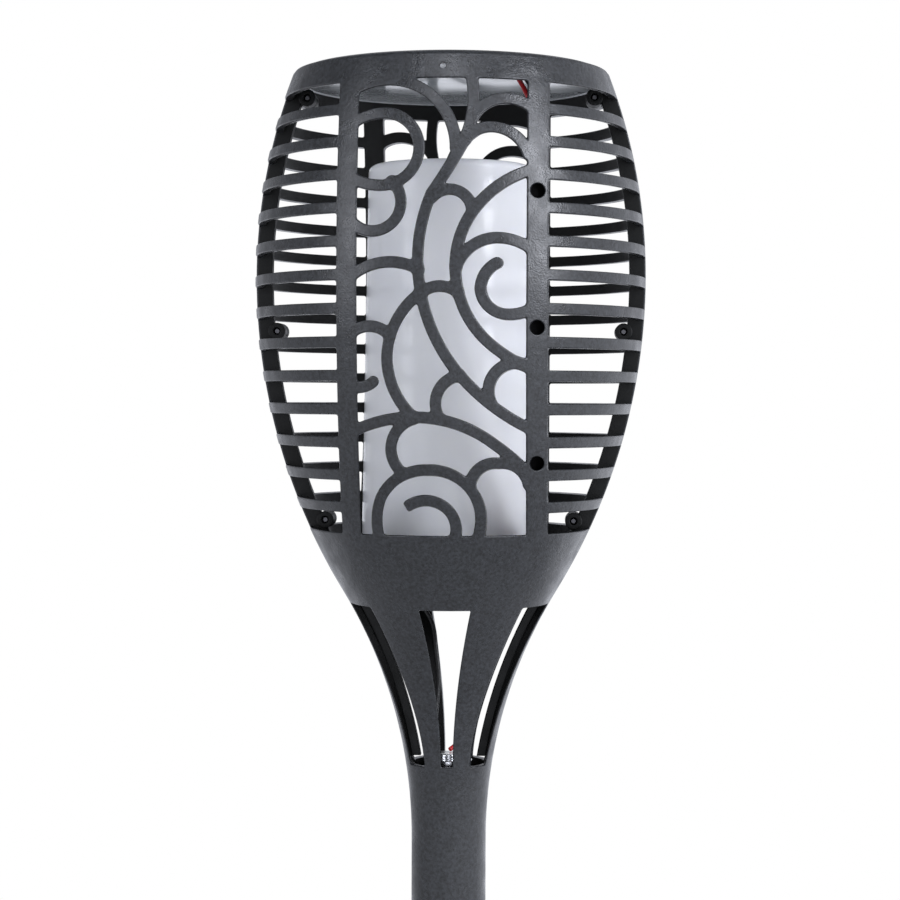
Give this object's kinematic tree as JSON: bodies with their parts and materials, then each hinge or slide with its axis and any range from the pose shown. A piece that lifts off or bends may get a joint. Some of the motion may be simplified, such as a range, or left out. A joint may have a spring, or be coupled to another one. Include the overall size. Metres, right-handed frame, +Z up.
{
  "type": "solar garden torch",
  "caption": "Solar garden torch: pierced bowl-shaped lantern head with scroll windows and slats, milky lamp inside, on a plug-together pole with a ground spike.",
  "frame": {"origin": "on the torch's axis at ground level, under the spike's collar", "axes": "+Z up along the pole, -Y towards the front scroll window, +X to the right seen from the front"},
  "size_m": [0.12, 0.12, 0.78],
  "materials": {
    "shell_plastic": "fine moulded grain, semi-matt",
    "dark_plastic": "moulded, semi-matt",
    "screw_steel": "black oxide",
    "plated_steel": "zinc plated",
    "panel_back": "glossy white laminate",
    "solar_cell": "dark blue silicon with silver grid lines",
    "panel_resin": "clear epoxy",
    "glue": "cured silicone bead",
    "red_wire": "PVC insulation",
    "black_wire": "PVC insulation",
    "frosted_diffuser": "milky translucent, glossy",
    "white_plastic": "moulded",
    "white_laminate": "flexible circuit laminate",
    "led_package": "yellow phosphor in white package",
    "circuit_green": "solder mask",
    "chip_black": "moulded package",
    "cell_wrap": "silver shrink sleeve"
  },
  "bodies": {
    "spike": {"ground_spike": "shell_plastic"},
    "lower_pole": {"lower_pole": "shell_plastic", "pole_coupler": "dark_plastic"},
    "upper_pole": {"upper_pole": "shell_plastic"},
    "head": {"front_shell": "shell_plastic", "rear_shell": "shell_plastic", "seam_screws": "screw_steel", "wire_duct": "dark_plastic", "panel_board": "panel_back", "solar_cells": "solar_cell", "panel_glass": "panel_resin", "panel_seal": "glue", "panel_red_lead": "red_wire", "panel_black_lead": "black_wire", "diffuser": "frosted_diffuser", "lamp_base": "dark_plastic", "led_column": "white_plastic", "led_board": "white_laminate", "leds": "led_package", "control_board": "circuit_green", "board_chips": "chip_black", "board_screws": "plated_steel", "base_cover": "dark_plastic", "cover_screws": "screw_steel", "switch_body": "chip_black", "battery_cell": "cell_wrap", "battery_tabs": "plated_steel", "battery_red_lead": "red_wire", "battery_black_lead": "black_wire"},
    "switch": {"switch_button": "dark_plastic"}
  },
  "joints": [
    {"name": "lower_pole_pull", "type": "slide", "parent": "spike", "child": "lower_pole", "axis": [0, 0, 1], "range_m": [0, 0.03]},
    {"name": "upper_pole_pull", "type": "slide", "parent": "lower_pole", "child": "upper_pole", "axis": [0, 0, 1], "range_m": [0, 0.03]},
    {"name": "head_pull", "type": "slide", "parent": "upper_pole", "child": "head", "axis": [0, 0, 1], "range_m": [0, 0.03]},
    {"name": "switch_press", "type": "slide", "parent": "head", "child": "switch", "axis": [0, 0, 1], "range_m": [0, 0.0015], "stiffness_N_per_m": 300, "springref_m": -0.002}
  ]
}
